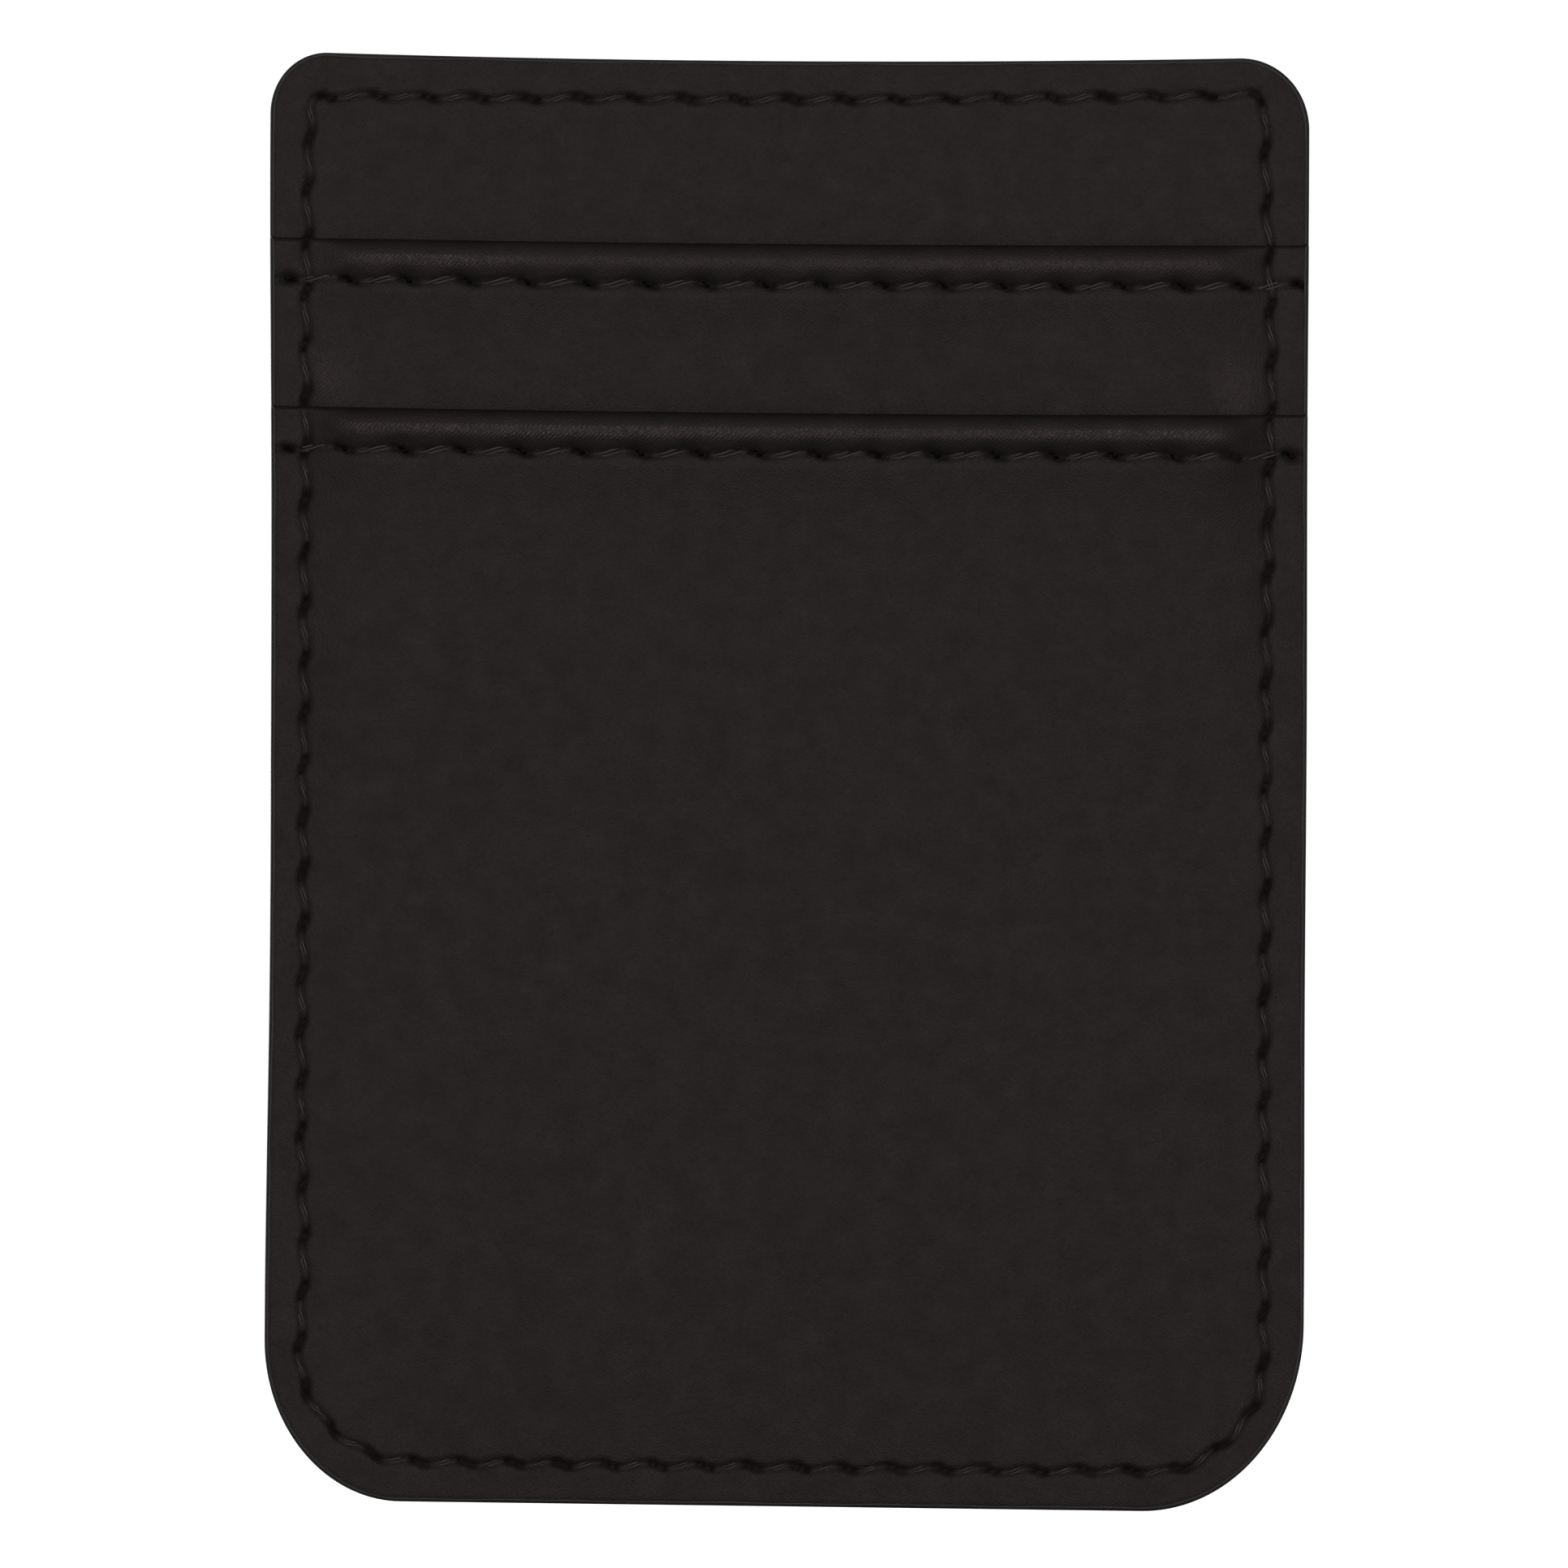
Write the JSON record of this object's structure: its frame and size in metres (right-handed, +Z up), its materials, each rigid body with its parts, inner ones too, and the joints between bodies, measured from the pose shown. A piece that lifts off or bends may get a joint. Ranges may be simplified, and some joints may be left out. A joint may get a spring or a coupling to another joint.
{
  "type": "card holder",
  "caption": "Flat stick-on card holder in black stitched leatherette, with overlapping hemmed card pockets open at the top and an adhesive back under a peel-off liner.",
  "frame": {"origin": "centre of the adhesive sheet's sticking face, which lies in the plane y = 0", "axes": "+Z up towards the pocket mouths, -Y out of the front, +Y out of the back towards the phone, +X to the right seen from the front"},
  "size_m": [0.0636, 0.0049, 0.0888],
  "materials": {
    "leather": "fine-grained black coated leatherette, soft satin",
    "back_leather": "smoother black coated leatherette, matte",
    "edge_paint": "black edge paint, satin",
    "thread": "black bonded polyester thread, soft sheen",
    "board": "brown fibre board",
    "adhesive": "milky adhesive sheet",
    "liner_paper": "pale silicone-coated kraft release paper"
  },
  "bodies": {
    "holder": {"adhesive_sheet": "adhesive", "back_panel": "back_leather", "stiffener_board": "board", "face_panel": "leather", "rear_pocket_panel": "leather", "front_pocket_panel": "leather", "edge_paint": "edge_paint", "perimeter_needle_thread": "thread", "perimeter_bobbin_thread": "thread", "rear_hem_needle_thread": "thread", "rear_hem_bobbin_thread": "thread", "front_hem_needle_thread": "thread", "front_hem_bobbin_thread": "thread"},
    "liner": {"release_liner": "liner_paper"}
  },
  "joints": [
    {"name": "liner_release", "type": "slide", "parent": "holder", "child": "liner", "axis": [0, 1, 0], "range_m": [0, 0.03]}
  ]
}
